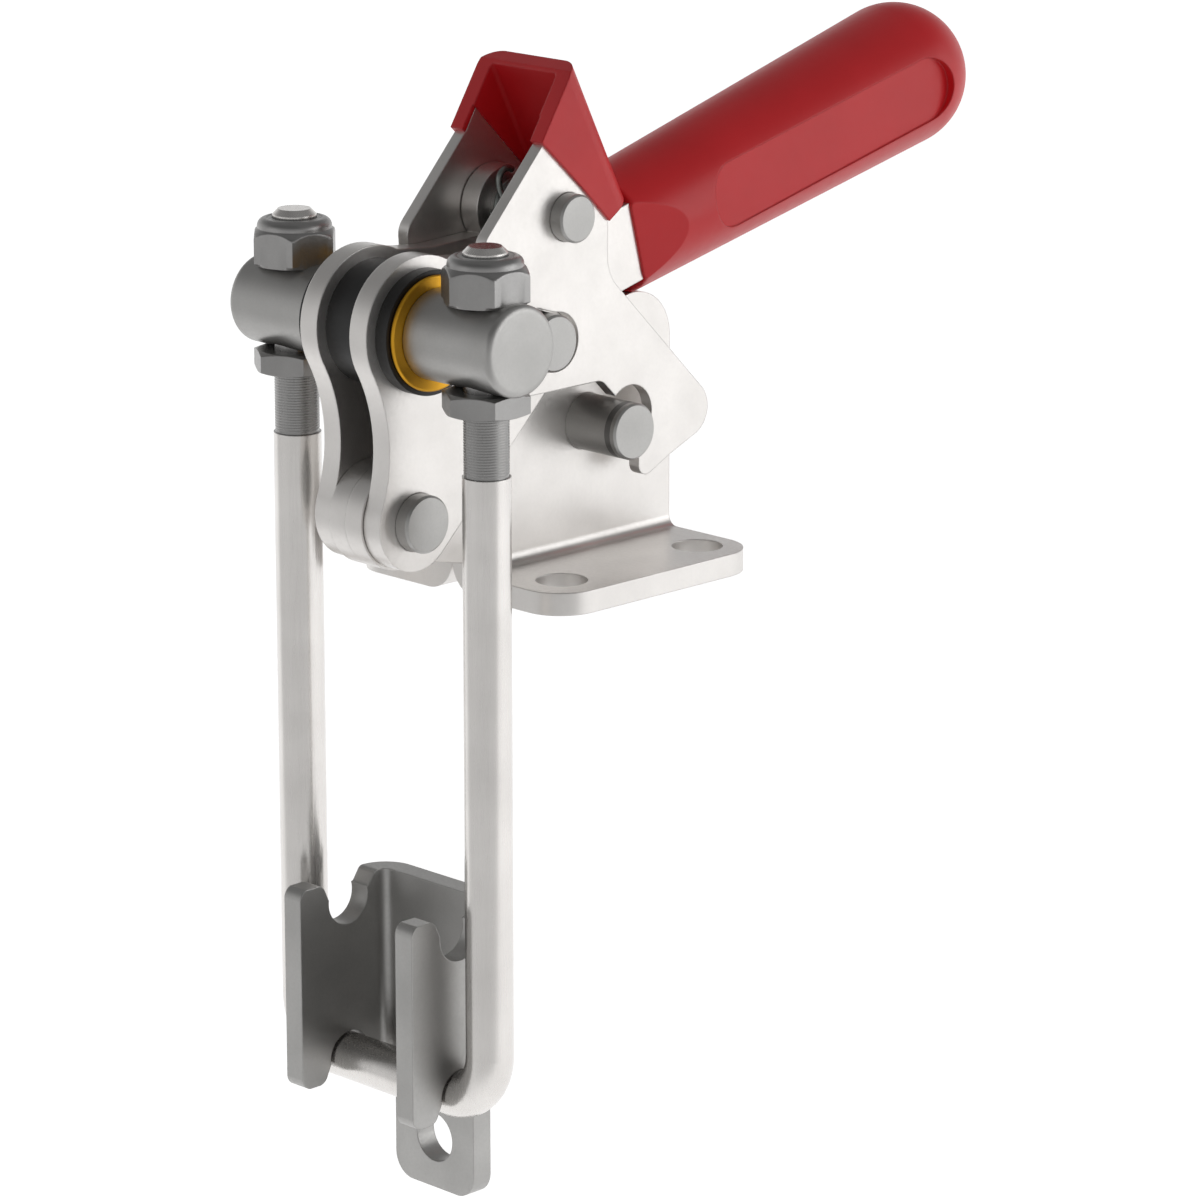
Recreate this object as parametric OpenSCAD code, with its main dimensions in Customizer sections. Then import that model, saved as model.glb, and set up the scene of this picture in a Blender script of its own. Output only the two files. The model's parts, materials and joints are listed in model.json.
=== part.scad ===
// Hook toggle clamp: two-plate base, over-centre handle with red grip, release lever, U-bolt and catch plate.
// Lengths are in millimetres. X runs across the clamp, Y runs from the U-bolt back to the grip, Z is up.
// The origin is the centre of the four mounting holes, on the underside of the base.

/* [Base] */
// Thickness of each base plate
base_t = 4.2; // [3.8:0.1:4.4]
// Width across both flanges
base_width = 55.8; // [54:0.2:60]
// Flange edge in front of the origin
base_front = 26.6; // [26:0.1:27.2]
// Flange edge behind the origin
base_back = 25.3; // [24.8:0.1:26]
// Spacing of the mounting holes across the clamp
hole_spacing_x = 38; // [36:0.5:40]
// Spacing of the mounting holes front to back
hole_spacing_y = 35; // [33:0.5:36]
// Diameter of the mounting holes
hole_d = 9.5; // [6:0.1:10]
// Inner radius of the bend from web to flange
base_bend_r = 2; // [1:0.1:2.4]
// Corner radius of the flanges
flange_corner_r = 8; // [3:0.5:8.5]
// Radius of the web around the main pivot
web_nose_r = 9.5; // [9.1:0.1:10]
// Radius of the rounded hump that stops the handle
hump_r = 9.2; // [8:0.1:9.4]
// Height of the centre of the hump
hump_z = 40.7; // [39.5:0.1:40.7]

/* [Axes] */
// Main pivot, distance behind the origin
pivot_y = -43.1; // [-43.6:0.1:-42.6]
// Main pivot height
pivot_z = 17.6; // [17.2:0.1:18]
// Trunnion axis, distance behind the origin
trunnion_y = -41.5; // [-42:0.1:-41]
// Trunnion axis height
trunnion_z = 52; // [51.5:0.1:52.5]
// Stop pin, distance behind the origin
stop_y = 3.3; // [3:0.1:3.6]
// Stop pin height
stop_z = 27.7; // [27.4:0.1:28]
// Release lever axis, distance behind the origin
release_y = -8.2; // [-8.5:0.1:-7.9]
// Release lever axis height
release_z = 68.1; // [67.8:0.1:68.4]
// Guide pin, distance behind the origin
guide_y = -13.8; // [-14.1:0.1:-13.5]
// Guide pin height
guide_z = 46.2; // [46:0.1:46.5]

/* [Pins] */
// Diameter of the pivot, stop and guide pins
pin_d = 10.5; // [10:0.1:10.7]
// Length of the main pivot pin
pivot_pin_len = 22.9; // [21:0.1:26]
// Length of the stop pin
stop_pin_len = 33.8; // [28:0.1:36]
// Length of the guide pin and of the release pin
guide_pin_len = 28.2; // [26:0.1:30]
// Diameter of the release pin
release_pin_d = 8.8; // [8:0.1:9]
// Diameter of the cross shaft
shaft_d = 10; // [9:0.1:10.4]
// Length of the cross shaft
shaft_len = 39; // [36:0.5:39]
// Edge bevel of the pins
pin_bevel = 0.4; // [0.2:0.05:0.6]
// Radial clearance of every pin that turns in a plate
running_clearance = 0.05; // [0.03:0.01:0.08]

/* [Handle plates] */
// Thickness of each handle plate
side_t = 4.2; // [3.8:0.1:4.4]
// Play between the base web and each handle plate
side_play = 0.1; // [0.05:0.01:0.2]
// Radius of the plate end around the trunnion axis
side_top_r = 13.4; // [12.5:0.1:13.8]
// Radius of the plate end around the main pivot
side_end_r = 9; // [8.5:0.1:9.4]
// Radius of the hollow front edge
waist_r = 29.4; // [27:0.2:32]
// Radius of the ear around the release pin
ear_r = 7.5; // [7:0.1:7.8]
// Half height of the bar that carries the grip
bar_half = 7.5; // [7.2:0.1:7.7]
// Half height of the tang inside the grip
tang_half = 4.6; // [3.6:0.1:4.8]
// Length of the tang inside the grip
tang_len = 65; // [50:1:68]

/* [Grip] */
// Near end of the grip axis, distance behind the origin
grip_y = 12; // [11.8:0.1:12.6]
// Near end of the grip axis, height
grip_z = 60.5; // [60.5:0.1:60.9]
// Rise of the grip axis toward its far end, in degrees
grip_tilt = 14.5; // [14:0.1:15.5]
// Radius of the grip at its near end
grip_near_r = 10.6; // [10.4:0.05:10.7]
// Radius of the round far end
grip_far_r = 14; // [13:0.1:15]
// Distance along the axis to the centre of the round far end
grip_len = 81.5; // [78:0.5:86]
// Half width across the two flats at the near end
flat_half = 8.95; // [8.9:0.05:9.4]
// Angle of the flats to the axis, in degrees
flat_angle = 15.6; // [12:0.2:18]
// Height of the long recess on each side
recess_h = 11.5; // [9:0.1:12.5]
// Distance along the axis to the start of the recess
recess_start = 16; // [14:0.5:20]
// Distance along the axis to the end of the recess
recess_end = 82; // [76:0.5:84]
// Half width across the floors of the two recesses
recess_half = 11.3; // [10.4:0.1:11.6]

/* [Release lever] */
// Thickness of the release lever sheet
lever_t = 2.5; // [2:0.1:2.7]
// Play between a handle plate and the lever
lever_play = 0.2; // [0.1:0.02:0.26]
// Distance from the release pin axis to the outer face of the bridge
bridge_reach = 14.5; // [14.2:0.1:15]
// Slope of the bridge down from its top edge, in degrees
bridge_slope = 63.2; // [62:0.2:64]
// Inner radius of the bends beside the bridge
lever_bend_r = 1.2; // [0.8:0.1:1.6]
// Turn of the hook seat away from the stop pin, in degrees
hook_back = 6.5; // [6:0.1:6.6]
// Gap around the stop pin in the hook seat
hook_gap = 0.35; // [0.3:0.01:0.5]
// Half of the swing that the guide slot allows, in degrees
slot_swing = 7.2; // [7:0.1:8]
// Thickness of the red dip coating outside the lever
coat_t = 0.6; // [0.4:0.05:0.8]
// Thickness of the coating inside the lever
lining_t = 0.3; // [0.2:0.05:0.4]

/* [Spring] */
// Wire diameter of the release spring
wire_d = 1.2; // [1:0.05:1.3]
// Number of coils
coils = 5; // [4:1:5]
// Gap between the release pin and the coils
coil_gap = 0.35; // [0.3:0.05:0.5]

/* [Trunnion stack] */
// Radius of the three black spacers
spacer_r = 11.2; // [10.4:0.1:11.6]
// Thickness of each outer spacer
spacer_t = 2.8; // [2.4:0.1:3]
// Radius of the brass washers
washer_r = 10.4; // [9.6:0.1:11]
// Thickness of the brass washers
washer_t = 0.9; // [0.7:0.05:1.1]
// Radius of the trunnion blocks
trunnion_r = 8.2; // [7.8:0.1:8.6]
// Distance from the middle to the outer end of each trunnion block
trunnion_end = 33.8; // [33:0.1:35]
// Edge radius of the outer ends
trunnion_edge_r = 1.1; // [0.6:0.1:1.6]
// Gap between a trunnion block and its washer
trunnion_play = 0.1; // [0.05:0.01:0.2]

/* [U-bolt] */
// Distance of each leg from the middle
leg_x = 24.7; // [24.4:0.1:25.2]
// Diameter of the rod
rod_d = 8.7; // [8.3:0.1:8.8]
// Diameter of the threaded ends
thread_d = 8; // [7.6:0.1:8.1]
// Length of each threaded end
thread_len = 40.9; // [34:0.1:60]
// Height of the studs above the trunnion axis
stud_top = 17.4; // [17:0.1:20]
// Drop from the trunnion axis to the axis of the cross bar
bolt_drop = 140.2; // [136:0.2:150]
// Bend radius on the rod axis
bolt_bend_r = 9.5; // [8:0.1:10]
// Clearance around the threaded ends in the trunnion blocks
stud_clearance = 0.25; // [0.1:0.05:0.4]

/* [Nuts] */
// Width across the flats of all nuts
nut_af = 14.2; // [13:0.1:15]
// Height of the jam nuts
jam_nut_h = 4; // [3.5:0.1:5]
// Height of the hexagon of the lock nuts
lock_hex_h = 4.3; // [4:0.1:5]
// Whole height of the lock nuts
lock_nut_h = 7.2; // [7:0.1:8]
// Outer radius of the round insert in each lock nut
insert_r = 5.3; // [5:0.1:5.6]
// Turn of the nut corners, in degrees
nut_turn = 27; // [0:1:59]
// Turn of the corners of the left lock nut, in degrees
left_nut_turn = 15; // [0:1:59]
// Gap between thread and nut
nut_gap = 0.05; // [0.03:0.01:0.1]

/* [Catch plate] */
// Thickness of the catch plate
catch_t = 4.3; // [3.8:0.1:4.4]
// Width over the two ears
catch_width = 34; // [33:0.1:35]
// Distance from the bar axis back to the front face of the plate
catch_back = 9.3; // [8.8:0.1:9.6]
// Distance from the bar axis forward to the front of the prongs
prong_front = 11.8; // [11.4:0.1:12.4]
// Width of the prongs at their tips
prong_w = 5.2; // [4.8:0.1:5.4]
// Radius of the round seats for the bar
seat_r = 4.8; // [4.7:0.05:5]
// Distance from the bar axis up to the middle between the two seats
catch_mid = 15.2; // [14.8:0.1:16]
// Height of the plate above that middle
catch_top = 19.2; // [18.8:0.1:20]
// Width of the tab
tab_w = 21; // [19:0.1:22]
// Drop of the lower end of the tab below the bar axis
tab_drop = 25.1; // [24:0.1:28]
// Corner radius of the tab
tab_corner_r = 4.5; // [2:0.1:5]
// Diameter of the hole in the tab
tab_hole_d = 9.5; // [6:0.1:10]
// Height of that hole above the lower end of the tab
tab_hole_up = 9.9; // [9:0.1:10.4]
// Inner radius of the bends beside the ears
catch_bend_r = 2; // [1:0.1:2.2]

/* [Hidden] */
$fn = 96;

// The five axes as [y, z] points.
pivot = [pivot_y, pivot_z];
trunnion = [trunnion_y, trunnion_z];
stop = [stop_y, stop_z];
release = [release_y, release_z];
guide = [guide_y, guide_z];

pin_r = pin_d / 2;
shaft_r = shaft_d / 2;
release_pin_r = release_pin_d / 2;
thread_r = thread_d / 2;
rod_r = rod_d / 2;
reach = 200;
overlap = 1;
// Hair by which rounds cross the straight edges they run into.
hair = 0.01;

// Stacking across the clamp, from the middle outward.
side_in = base_t + side_play;
side_out = side_in + side_t;
lever_in = side_out + lever_play;
lever_out = lever_in + lever_t;
spacer_out = side_out + spacer_t;
washer_out = spacer_out + washer_t;
trunnion_in = washer_out + trunnion_play;

// Unit vector at an angle from +Y toward +Z.
function along(a) = [cos(a), sin(a)];
// Vector turned a quarter turn toward the left.
function left_of(v) = [-v[1], v[0]];
// Point p turned by an angle about the centre c.
function turned(p, c, a) =
    let (v = p - c)
    c + [v[0] * cos(a) - v[1] * sin(a), v[0] * sin(a) + v[1] * cos(a)];
// Point where the circles of radius ra about a and rb about b cross, on the left of the way from a to b.
function crossing(a, ra, b, rb) =
    let (d = norm(b - a), u = (b - a) / d, m = (ra * ra - rb * rb + d * d) / (2 * d))
    a + m * u + sqrt(ra * ra - m * m) * left_of(u);
// Unit normal of the line that touches both circles on the right of the way from a to b.
function touch_right(a, ra, b, rb) =
    let (d = norm(b - a), u = (b - a) / d, c = (ra - rb) / d)
    c * u - sqrt(1 - c * c) * left_of(u);
// Corner i of an outline as [centre of its round, start, end, turn, radius].
function corner(p, i) =
    let (
        n = len(p),
        v = [p[i][0], p[i][1]],
        a = [p[(i + n - 1) % n][0], p[(i + n - 1) % n][1]],
        b = [p[(i + 1) % n][0], p[(i + 1) % n][1]],
        ua = (a - v) / norm(a - v),
        ub = (b - v) / norm(b - v),
        r = p[i][2],
        half = acos(ua * ub) / 2,
        cut = r / tan(half),
        mid = (ua + ub) / norm(ua + ub)
    )
    [v + mid * r / sin(half), v + ua * cut, v + ub * cut, ub[0] * ua[1] - ub[1] * ua[0], r];

// Flat outline through the given [y, z, radius] corners, taken anticlockwise.
module outline(p) {
    c = [for (i = [0 : len(p) - 1]) corner(p, i)];
    union() {
        difference() {
            polygon([for (k = c) each (k[4] > 0 ? [k[1], k[2]] : [k[1]])]);
            for (k = c)
                if (k[4] > 0 && k[3] < 0)
                    translate(k[0])
                        circle(k[4] + hair);
        }
        for (k = c)
            if (k[4] > 0 && k[3] > 0)
                translate(k[0])
                    circle(k[4] + hair);
    }
}

// Slab between two X positions from a flat shape drawn in Y and Z.
module slab(x0, x1) {
    translate([x0, 0, 0])
        rotate([90, 0, 90])
            linear_extrude(x1 - x0)
                children();
}

// Round rod along X about the axis p.
module rod_x(p, r, x0, x1) {
    translate([x0, p[0], p[1]])
        rotate([0, 90, 0])
            cylinder(r = r, h = x1 - x0);
}

// Turned piece whose profile is [radius, height] from the foot p up along X.
module turned_x(p, x0, profile) {
    translate([x0, p[0], p[1]])
        rotate([0, 90, 0])
            rotate_extrude()
                polygon(profile);
}

// Pin along X, centred, with bevelled edges.
module pin(p, r, length) {
    turned_x(p, -length / 2, [
        [0, 0],
        [r - pin_bevel, 0],
        [r, pin_bevel],
        [r, length - pin_bevel],
        [r - pin_bevel, length],
        [0, length]
    ]);
}

// Puts the children on the left side of the clamp.
module left_hand() {
    mirror([1, 0, 0])
        children();
}

// Edge of the web in front of the flange and above it.
web_foot = base_t + base_bend_r;
web_crest = stop + [-6.8, 10.3];
web_shoulder = guide + [2.3, -11.7];
hump = [base_back - hump_r, hump_z];

// Flat web of a base plate: nose around the main pivot, sloping top edge, rounded hump at the back.
module web_shape() {
    difference() {
        union() {
            translate(pivot)
                circle(web_nose_r);
            translate(hump)
                circle(hump_r);
            polygon([
                [-base_front, web_foot],
                [base_back, web_foot],
                [base_back, hump[1]],
                hump + 0.99 * hump_r * along(125),
                web_crest,
                web_shoulder,
                pivot + 0.98 * web_nose_r * along(97),
                pivot,
                pivot + 0.98 * web_nose_r * along(-68)
            ]);
        }
        translate(pivot)
            circle(pin_r);
        translate(stop)
            circle(pin_r);
    }
}

// Flange seen from above, with two round corners and two mounting holes.
flange_out = base_width / 2;
flange_len = base_front + base_back;
module flange_shape() {
    difference() {
        union() {
            translate([web_foot, -base_front])
                square([flange_out - web_foot, flange_len - flange_corner_r]);
            translate([web_foot, flange_corner_r - base_front])
                square([flange_out - web_foot - flange_corner_r, flange_len - flange_corner_r]);
            translate([flange_out - flange_corner_r, base_back - flange_corner_r])
                circle(flange_corner_r);
        }
        translate([flange_out - flange_corner_r, -base_front])
            difference() {
                square([flange_corner_r + overlap, flange_corner_r]);
                translate([0, flange_corner_r])
                    circle(flange_corner_r);
            }
        for (s = [-1, 1])
            translate([hole_spacing_x / 2, s * hole_spacing_y / 2])
                circle(hole_d / 2);
    }
}

// Flange, bend and web: one bent stamping.
module base_plate_right() {
    color("Silver") {
        slab(0, base_t)
            web_shape();
        linear_extrude(base_t)
            flange_shape();
        translate([web_foot, base_back, web_foot])
            rotate([90, 0, 0])
                linear_extrude(flange_len)
                    intersection() {
                        difference() {
                            circle(web_foot);
                            circle(base_bend_r);
                        }
                        translate([-web_foot, -web_foot])
                            square(web_foot);
                    }
    }
}

module base_plate_left() {
    left_hand()
        base_plate_right();
}

module pivot_pin() {
    color("DarkGray")
        pin(pivot, pin_r, pivot_pin_len);
}

module stop_pin() {
    color("DarkGray")
        pin(stop, pin_r, stop_pin_len);
}

// Grip axis direction, its left-hand normal and its near end.
grip_dir = along(grip_tilt);
grip_up = left_of(grip_dir);
grip_near = [grip_y, grip_z];

// Front hollow of the handle plate and the straight edge behind it.
waist_c = crossing(pivot, side_end_r + waist_r - hair, trunnion, side_top_r + waist_r - hair);
bar_low = grip_near - bar_half * grip_up;
bar_high = grip_near + bar_half * grip_up;
heel_y = 3.9;
heel = bar_low + (heel_y - bar_low[0]) / grip_dir[0] * grip_dir;
back_normal = touch_right(pivot, side_end_r - hair, heel, 0);
ear_dir = along(45);
ear_touch = release + (ear_r - hair) * ear_dir;
neck_slide = ((bar_high - ear_touch) * grip_up) / (left_of(-ear_dir) * grip_up);
neck = ear_touch + neck_slide * left_of(-ear_dir);
deck_end = [release_y - 6, trunnion_z + 11.7];
deck_bend = trunnion + [14.7, 11.1];
deck_start = trunnion + 0.98 * side_top_r * along(66);

// Handle plate: end around the trunnion axis, waist, end around the pivot, ear, bar and tang.
module side_shape() {
    difference() {
        union() {
            difference() {
                polygon([
                    pivot + (side_end_r + overlap) * (waist_c - pivot) / norm(waist_c - pivot),
                    pivot,
                    pivot + (side_end_r - hair) * back_normal,
                    heel,
                    bar_low,
                    grip_near - tang_half * grip_up,
                    grip_near - tang_half * grip_up + tang_len * grip_dir,
                    grip_near + tang_half * grip_up + tang_len * grip_dir,
                    grip_near + tang_half * grip_up,
                    bar_high,
                    neck,
                    ear_touch,
                    release,
                    deck_end,
                    deck_bend,
                    deck_start,
                    trunnion,
                    trunnion + (side_top_r + overlap) * (waist_c - trunnion) / norm(waist_c - trunnion)
                ]);
                translate(waist_c)
                    circle(waist_r);
            }
            translate(trunnion)
                circle(side_top_r);
            translate(pivot)
                circle(side_end_r);
            translate(release)
                circle(ear_r);
        }
        translate(trunnion)
            circle(shaft_r + running_clearance);
        translate(pivot)
            circle(pin_r + running_clearance);
        translate(release)
            circle(release_pin_r);
        translate(guide)
            circle(pin_r);
    }
}

module side_plate_right() {
    color("WhiteSmoke")
        slab(side_in, side_out)
            side_shape();
}

module side_plate_left() {
    left_hand()
        side_plate_right();
}

// Point where a line from the near rim touches the round far end, as [radius, distance].
grip_rim = [grip_near_r, 0];
grip_ball = [0, grip_len];
rim_gap = norm(grip_rim - grip_ball);
rim_turn = acos(grip_far_r / rim_gap);
rim_dir = atan2(grip_rim[1] - grip_ball[1], grip_rim[0] - grip_ball[0]);
grip_touch = grip_ball + grip_far_r * along(rim_dir + rim_turn);
rim_edge = 1;

// Grip along its own axis: tapered body, ball end, two flats, two long recesses and a slot for the tangs.
module grip() {
    color("FireBrick")
        translate([0, grip_y, grip_z])
            rotate([grip_tilt - 90, 0, 0])
                difference() {
                    rotate_extrude()
                        intersection() {
                            union() {
                                polygon([
                                    [0, 0],
                                    [grip_near_r - rim_edge, 0],
                                    [grip_near_r, rim_edge],
                                    grip_touch,
                                    grip_ball
                                ]);
                                translate(grip_ball)
                                    circle(grip_far_r);
                            }
                            square([grip_far_r + overlap, grip_len + grip_far_r + overlap]);
                        }
                    for (s = [-1, 1]) {
                        translate([s * flat_half, 0, 0])
                            rotate([0, s * flat_angle, 0])
                                translate([s > 0 ? 0 : -reach, -reach / 2, -reach / 2])
                                    cube(reach);
                        translate([s > 0 ? recess_half : -recess_half - reach, 0, 0])
                            rotate([90, 0, 90])
                                linear_extrude(reach) {
                                    translate([-recess_h / 2, recess_start + recess_h / 2])
                                        square([recess_h, recess_end - recess_start - recess_h]);
                                    for (e = [recess_start + recess_h / 2, recess_end - recess_h / 2])
                                        translate([0, e])
                                            circle(recess_h / 2);
                                }
                        translate([s > 0 ? side_in : -side_out, -tang_half, -overlap])
                            cube([side_t, 2 * tang_half, tang_len + overlap]);
                    }
                }
}

module guide_pin() {
    color("DarkGray")
        pin(guide, pin_r, guide_pin_len);
}

module release_pin() {
    color("DarkGray")
        pin(release, release_pin_r, guide_pin_len);
}

// Coil radius to the middle of the wire, and the pitch that keeps the coils between the handle plates.
wire_r = wire_d / 2;
coil_r = release_pin_r + coil_gap + wire_r;
coil_pitch = wire_d + 0.1;
arm_len = 6.5;
arm_r = 0.9 * wire_r;
loop_r = 2;

// Torsion spring around the release pin: coils and a short arm with a bent end.
module release_spring() {
    color("DimGray")
        translate([0, release_y, release_z]) {
            for (i = [0 : coils - 1])
                translate([(i - (coils - 1) / 2) * coil_pitch, 0, 0])
                    rotate([0, 90, 0])
                        rotate_extrude()
                            translate([coil_r, 0])
                                circle(wire_r);
            translate([(coils - 1) / 2 * coil_pitch, -coil_r, 0])
                cylinder(r = arm_r, h = arm_len);
            translate([(coils - 1) / 2 * coil_pitch, loop_r - coil_r, arm_len])
                rotate([90, 0, -90])
                    rotate_extrude(angle = 130)
                        translate([loop_r, 0])
                            circle(arm_r);
        }
}

// Direction up along the bridge, its outward normal, and points by distance along both from the release axis.
bridge_up = along(180 - bridge_slope);
bridge_out = along(90 - bridge_slope);
function by_bridge(up, out) = release + up * bridge_up + out * bridge_out;
// Sharp outline corner that far up the bridge and that far beyond its outer face.
function bridge_corner(up, beyond) = [each by_bridge(up, bridge_reach + beyond), 0];
bridge_foot = -4.6;
bridge_head = 22.2;
seat = turned(stop, release, hook_back);
seat_cut_r = pin_r + hook_gap;
notch_z = stop_z + 9.1;
lip_y = pivot_y + norm(stop - pivot) + pin_r + 0.45;
rear_sum = 47.7 + 10.5;
neck_back_y = 2.0;
tail_y = 32.3;
tail_z = rear_sum - tail_y;
lever_front_y = -27.3;

// Middle radius and half width of the guide slot.
slot_r = norm(guide - release);
slot_gap = 0.25;
slot_half = pin_r + slot_gap;

// Side view of the release lever, with the hook seat turned back from the stop pin.
module lever_shape() {
    difference() {
        outline([
            [lever_front_y, guide_z - 0.2, 1.5],
            [lever_front_y + 7.8, notch_z, 1],
            [stop_y - 2.8, notch_z, 3],
            [seat[0] - 3.1, seat[1] + 3.4, 0],
            [seat[0], seat[1], 0],
            [lip_y, seat[1] - 4.6, 0],
            [lip_y, stop_z - 11.6, 2],
            [stop_y + 14.7, stop_z - 7.7, 4],
            [tail_y, tail_z, 5.3],
            [neck_back_y, rear_sum - neck_back_y, 8],
            [neck_back_y, release_z - 2.2, 0],
            bridge_corner(bridge_foot, -2.2),
            bridge_corner(bridge_foot, 0),
            bridge_corner(bridge_head, 0),
            bridge_corner(bridge_head, -2.2),
            [release_y - 5.9, release_z + 14, 0],
            [lever_front_y - 1.6, release_z - 2.1, 4]
        ]);
        translate(seat)
            circle(seat_cut_r);
        translate(release)
            circle(release_pin_r + running_clearance);
        slot_shape();
    }
}

// Curved slot that lets the lever swing past the guide pin.
module slot_shape() {
    for (s = [-1, 1])
        translate(turned(guide, release, s * slot_swing))
            circle(slot_half);
    intersection() {
        translate(release)
            difference() {
                circle(slot_r + slot_half - hair);
                circle(slot_r - slot_half + hair);
            }
        polygon([
            release,
            release + 2 * (turned(guide, release, -slot_swing) - release),
            release + 2 * (turned(guide, release, slot_swing) - release)
        ]);
    }
}

// Point up the bridge from which the lever is bent, a little below the foot of the bridge.
bend_start = bridge_foot - 1.5;

// Corner pieces left of a bend beside the bridge: what lies outside the round, on both sides of the clamp.
module bend_corners(half, out, r) {
    translate([0, release_y, release_z])
        rotate([90 - bridge_slope, 0, 0])
            translate([0, 0, bend_start])
                linear_extrude(reach)
                    for (m = [0, 1])
                        mirror([m, 0])
                            translate([half - r, out - r])
                                difference() {
                                    square(r + overlap);
                                    circle(r + hair);
                                }
}

// Side view of everything that far out or less, together with everything below the bends.
module under_bridge(out) {
    polygon([
        by_bridge(reach, out),
        by_bridge(reach, -reach),
        by_bridge(-reach, -reach),
        by_bridge(-reach, reach),
        by_bridge(bend_start, reach),
        by_bridge(bend_start, out)
    ]);
}

// Outer body of the lever before it is hollowed, with round bends beside the bridge.
module lever_body() {
    difference() {
        slab(-lever_out, lever_out)
            lever_shape();
        bend_corners(lever_out, bridge_reach, lever_bend_r + lever_t);
    }
}

// Space between the two sides of the lever, under the bridge and below it.
module lever_hollow() {
    difference() {
        slab(-lever_in, lever_in)
            under_bridge(bridge_reach - lever_t);
        bend_corners(lever_in, bridge_reach - lever_t, lever_bend_r);
    }
}

// One-piece channel: two side plates joined by the bridge behind the release pin.
module release_lever() {
    color("WhiteSmoke")
        difference() {
            lever_body();
            lever_hollow();
        }
}

// Edges of the coating: how far it runs past the bridge, and where it starts outside and inside, as y + z.
cover_foot = bridge_foot - 0.9;
cover_head = bridge_head + 0.9;
cover_sum = release_y + release_z + 8.1;
lining_sum = cover_sum + 6;

// Side view of the dipped cover.
module cover_shape() {
    outline([
        [cover_sum - release_z - 5, release_z + 5, 0],
        [cover_sum - release_z + 2, release_z - 2, 0],
        bridge_corner(cover_foot, 0),
        bridge_corner(cover_foot + 1.8, coat_t),
        bridge_corner(cover_head, coat_t),
        bridge_corner(cover_head, -2.2),
        [release_y - 6.9, release_z + 14.3, 0]
    ]);
}

// Red dip coating over the bridge end of the lever, outside and inside.
module release_cover() {
    color("FireBrick")
        difference() {
            slab(-lever_out - coat_t, lever_out + coat_t)
                cover_shape();
            bend_corners(lever_out + coat_t, bridge_reach + coat_t, lever_bend_r + lever_t + coat_t);
            difference() {
                lever_body();
                lever_hollow();
            }
            difference() {
                slab(lining_t - lever_in, lever_in - lining_t)
                    under_bridge(bridge_reach - lever_t - lining_t);
                bend_corners(lever_in - lining_t, bridge_reach - lever_t - lining_t, lever_bend_r - lining_t);
            }
            slab(-lever_in, lever_in)
                polygon([
                    [lining_sum + reach, -reach],
                    [lining_sum - reach, reach],
                    [-2 * reach, reach],
                    [-2 * reach, -reach]
                ]);
        }
}

module center_spacer() {
    color("Black")
        difference() {
            rod_x(trunnion, spacer_r, -side_in, side_in);
            rod_x(trunnion, shaft_r + running_clearance, -reach, reach);
        }
}

module side_spacer_right() {
    color("Black")
        difference() {
            rod_x(trunnion, spacer_r, side_out, spacer_out);
            rod_x(trunnion, shaft_r + running_clearance, -reach, reach);
        }
}

module side_spacer_left() {
    left_hand()
        side_spacer_right();
}

// Brass washer with rounded rim.
module brass_washer_right() {
    color("Goldenrod")
        translate([spacer_out, trunnion_y, trunnion_z])
            rotate([0, 90, 0])
                rotate_extrude() {
                    translate([shaft_r + running_clearance, 0])
                        square([washer_r - washer_t / 2 - shaft_r - running_clearance, washer_t]);
                    intersection() {
                        translate([washer_r - washer_t / 2, washer_t / 2])
                            circle(washer_t / 2);
                        square([washer_r + overlap, washer_t]);
                    }
                }
}

module brass_washer_left() {
    left_hand()
        brass_washer_right();
}

module cross_shaft() {
    color("DarkGray")
        pin(trunnion, shaft_r, shaft_len);
}

// Trunnion block: round bar with a rounded outer edge, a blind bore for the shaft and a hole for the stud.
module trunnion_right() {
    block_len = trunnion_end - trunnion_in;
    color("DarkGray")
        difference() {
            translate([trunnion_in, trunnion_y, trunnion_z])
                rotate([0, 90, 0])
                    rotate_extrude() {
                        square([trunnion_r, block_len - trunnion_edge_r]);
                        square([trunnion_r - trunnion_edge_r, block_len]);
                        intersection() {
                            translate([trunnion_r - trunnion_edge_r, block_len - trunnion_edge_r])
                                circle(trunnion_edge_r);
                            square([trunnion_r, block_len]);
                        }
                    }
            rod_x(trunnion, shaft_r + running_clearance, -reach, shaft_len / 2 + 0.3);
            translate([leg_x, trunnion_y, trunnion_z - reach / 2])
                cylinder(r = thread_r + stud_clearance, h = reach);
        }
}

module trunnion_left() {
    left_hand()
        trunnion_right();
}

bolt_z = trunnion_z - bolt_drop;
stud_z = trunnion_z + stud_top;
stud_bevel = 1;

// U-bolt: threaded ends, two legs, two bends and the cross bar.
module u_bolt() {
    color("Gainsboro") {
        for (s = [-1, 1]) {
            translate([s * leg_x, trunnion_y, stud_z - thread_len])
                rotate_extrude()
                    polygon([
                        [0, -overlap],
                        [thread_r, -overlap],
                        [thread_r, thread_len - stud_bevel],
                        [thread_r - stud_bevel, thread_len],
                        [0, thread_len]
                    ]);
            translate([s * leg_x, trunnion_y, bolt_z + bolt_bend_r])
                cylinder(r = rod_r, h = stud_z - thread_len - bolt_z - bolt_bend_r);
            translate([s * (leg_x - bolt_bend_r), trunnion_y, bolt_z + bolt_bend_r])
                rotate([90, 0, 0])
                    rotate([0, 0, s > 0 ? -90 : 180])
                        rotate_extrude(angle = 90)
                            translate([bolt_bend_r, 0])
                                circle(rod_r);
        }
        rod_x([trunnion_y, bolt_z], rod_r, bolt_bend_r - leg_x, leg_x - bolt_bend_r);
    }
}

nut_corner_r = nut_af / 2 / cos(30);
nut_bevel = 0.6;

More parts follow.
